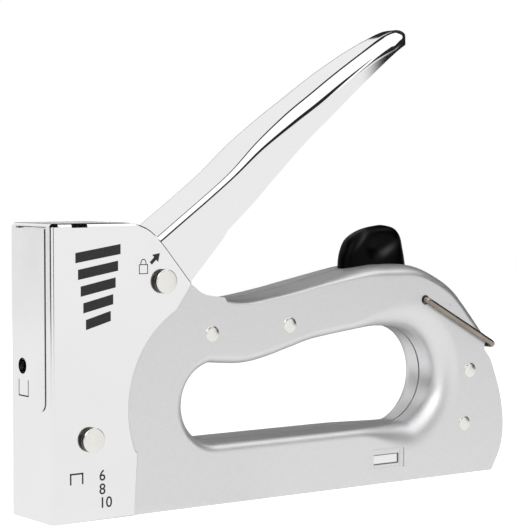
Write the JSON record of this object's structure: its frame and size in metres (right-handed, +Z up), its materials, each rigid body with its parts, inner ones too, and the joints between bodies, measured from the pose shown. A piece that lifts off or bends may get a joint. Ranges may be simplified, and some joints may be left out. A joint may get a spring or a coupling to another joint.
{
  "type": "staple gun",
  "caption": "Hand staple gun with a plated head, pressed grip shells round a finger opening, a squeezed lever, a sprung striker and a pull-out staple drawer.",
  "frame": {"origin": "middle of the base, on the surface the gun stands on", "axes": "+X from the nose to the back of the grip, +Y to the right-hand shell seen from behind the nose, +Z up"},
  "size_m": [0.1862, 0.0296, 0.1558],
  "materials": {
    "bright_plate": "bright nickel-chrome plate on pressed steel",
    "silver_paint": "satin silver metallic enamel on pressed steel",
    "nickel_plate": "dull nickel-plated turned steel",
    "bare_steel": "plain oiled steel",
    "spring_steel": "drawn spring wire",
    "staple_wire": "galvanised staple wire",
    "black_plastic": "moulded glossy black plastic",
    "black_rubber": "moulded rubber"
  },
  "bodies": {
    "frame": {"head_casing": "bright_plate", "nose_plate": "bright_plate", "left_shell": "silver_paint", "right_shell": "silver_paint", "grip_rivet_front": "nickel_plate", "grip_rivet_rear": "nickel_plate", "back_rivet_upper": "nickel_plate", "back_rivet_lower": "nickel_plate", "grip_sleeve_front": "bare_steel", "grip_sleeve_rear": "bare_steel", "back_sleeve_upper": "bare_steel", "back_sleeve_lower": "bare_steel", "lever_pivot_pin": "nickel_plate", "nose_pin": "nickel_plate", "pivot_sleeve": "bare_steel", "lever_bumper": "black_plastic", "striker_buffer": "black_rubber", "spring_top_stop": "bare_steel", "main_spring": "spring_steel", "magazine_channel": "bright_plate"},
    "lever": {"lever": "bright_plate", "lever_return_spring": "spring_steel"},
    "striker": {"striker_carrier": "bare_steel", "striker_blade": "bare_steel"},
    "drawer": {"staple_rail": "bare_steel", "staple_strip": "staple_wire", "pusher_rod": "spring_steel", "pusher_spring": "spring_steel", "drawer_end_block": "bare_steel", "drawer_leaf_right": "spring_steel", "drawer_leaf_left": "spring_steel"},
    "pusher": {"staple_pusher": "bare_steel"},
    "bail": {"lock_bail": "spring_steel"}
  },
  "joints": [
    {"name": "lever_squeeze", "type": "hinge", "parent": "frame", "child": "lever", "pos_m": [-0.0531, 0, 0.0725], "axis": [0, 1, 0], "range_deg": [0, 32], "stiffness_Nm_per_rad": 4, "springref_deg": -22.92},
    {"name": "striker_lift", "type": "slide", "parent": "frame", "child": "striker", "axis": [0, 0, 1], "range_m": [0, 0.01606], "deforming": ["main_spring"]},
    {"name": "drawer_slide", "type": "slide", "parent": "frame", "child": "drawer", "axis": [1, 0, 0], "range_m": [0, 0.14]},
    {"name": "pusher_slide", "type": "slide", "parent": "drawer", "child": "pusher", "axis": [1, 0, 0], "range_m": [0, 0.05], "stiffness_N_per_m": 60, "springref_m": -0.05, "deforming": ["pusher_spring"]},
    {"name": "bail_swing", "type": "hinge", "parent": "frame", "child": "bail", "pos_m": [0.0559, 0, 0.0623], "axis": [0, -1, 0], "range_deg": [0, 82]}
  ],
  "couplings": [
    {"joint": "striker_lift", "follows": "lever_squeeze", "m_per_rad": 0.02875}
  ]
}
